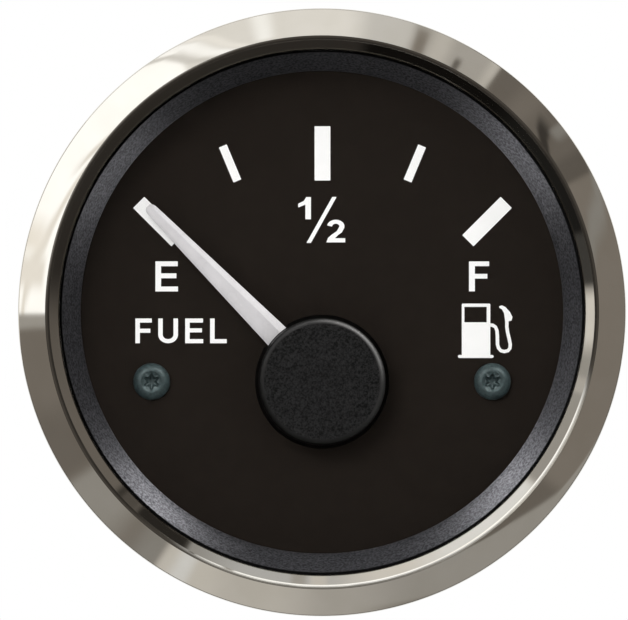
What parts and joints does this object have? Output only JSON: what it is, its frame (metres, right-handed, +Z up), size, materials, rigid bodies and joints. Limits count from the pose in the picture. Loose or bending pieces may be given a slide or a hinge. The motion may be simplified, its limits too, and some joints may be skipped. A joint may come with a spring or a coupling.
{
  "type": "fuel gauge",
  "caption": "Round panel fuel gauge with a polished bezel, black dial, white sweeping pointer and rear clamp bracket.",
  "frame": {"origin": "on the barrel's axis at the front face of the panel, where the gasket rests", "axes": "+Y along the barrel into the panel, +Z up the dial, +X to the right of the dial"},
  "size_m": [0.062, 0.0707, 0.062],
  "materials": {
    "polished_steel": "mirror polished stainless sheet",
    "front_glass": "clear flat glass",
    "rubber": "matt black rubber",
    "reveal_black": "fine grained black moulding",
    "dial_black": "matt black dial paint",
    "print_white": "matt white screen print",
    "screw_black": "blue-black oxide",
    "pointer_white": "white moulded plastic",
    "cap_black": "fine grained black moulding",
    "case_black": "black moulded plastic",
    "holder_black": "black moulded plastic",
    "brass": "turned brass",
    "bright_steel": "bright turned steel",
    "zinc_steel": "zinc plated steel",
    "magnet": "ground sintered magnet",
    "former_plastic": "natural moulded nylon",
    "copper_wire": "enamelled copper wire",
    "tinned_brass": "tinned brass",
    "guide_clear": "clear moulded acrylic",
    "carrier_white": "white moulded plastic",
    "bulb_glass": "thin clear glass",
    "board_green": "green solder mask on glass fibre",
    "resistor_tan": "tan lacquer",
    "capacitor_blue": "blue shrunk sleeve",
    "diode_black": "black moulded epoxy"
  },
  "bodies": {
    "case": {"bezel": "polished_steel", "lens": "front_glass", "lens_seal": "rubber", "reveal_ring": "reveal_black", "dial": "dial_black", "scale_print": "print_white", "dial_screws": "screw_black", "panel_gasket": "rubber", "case": "case_black", "stop_posts": "bright_steel", "bobbin_front": "former_plastic", "bobbin_rear": "former_plastic", "inner_coil": "copper_wire", "outer_coil": "copper_wire", "coil_pins": "tinned_brass", "front_bearing": "brass", "rear_bearing": "brass", "shield_can": "zinc_steel", "zero_magnet": "magnet", "movement_screws": "bright_steel", "light_guide": "guide_clear", "dial_carrier": "carrier_white", "circuit_board": "board_green", "board_screws": "bright_steel", "resistors": "resistor_tan", "capacitor": "capacitor_blue", "protection_diode": "diode_black", "terminal_supply": "tinned_brass", "terminal_sender": "tinned_brass", "terminal_ground": "tinned_brass", "clamp_studs": "zinc_steel"},
    "pointer": {"pointer": "pointer_white", "pointer_cap": "cap_black", "pointer_bush": "brass", "counterweight": "brass", "spindle": "bright_steel", "stop_arm": "bright_steel", "rotor_magnet": "magnet"},
    "lamp": {"lamp_holder": "holder_black", "lamp_bulb": "bulb_glass", "lamp_contacts": "brass", "lamp_seal": "rubber"},
    "clamp": {"clamp_bracket": "zinc_steel", "clamp_washers": "zinc_steel"},
    "nut_left": {"thumb_nut_left": "brass"},
    "nut_right": {"thumb_nut_right": "brass"}
  },
  "joints": [
    {"name": "pointer_sweep", "type": "hinge", "parent": "case", "child": "pointer", "pos_m": [0, 0, -0.0071], "axis": [0, 1, 0], "range_deg": [0, 92]},
    {"name": "clamp_slide", "type": "slide", "parent": "case", "child": "clamp", "axis": [0, 1, 0], "range_m": [-0.0025, 0.008]},
    {"name": "nut_left_turn", "type": "hinge", "parent": "clamp", "child": "nut_left", "pos_m": [-0.018, 0.046, 0], "axis": [0, 1, 0], "range_deg": [-1290, 4120]},
    {"name": "nut_right_turn", "type": "hinge", "parent": "clamp", "child": "nut_right", "pos_m": [0.018, 0.046, 0], "axis": [0, 1, 0], "range_deg": [-1290, 4120]},
    {"name": "lamp_pull", "type": "slide", "parent": "case", "child": "lamp", "axis": [0, 1, 0], "range_m": [0, 0.026]}
  ],
  "couplings": [
    {"joint": "nut_left_turn", "follows": "clamp_slide", "rad_per_m": 8976},
    {"joint": "nut_right_turn", "follows": "clamp_slide", "rad_per_m": 8976}
  ]
}
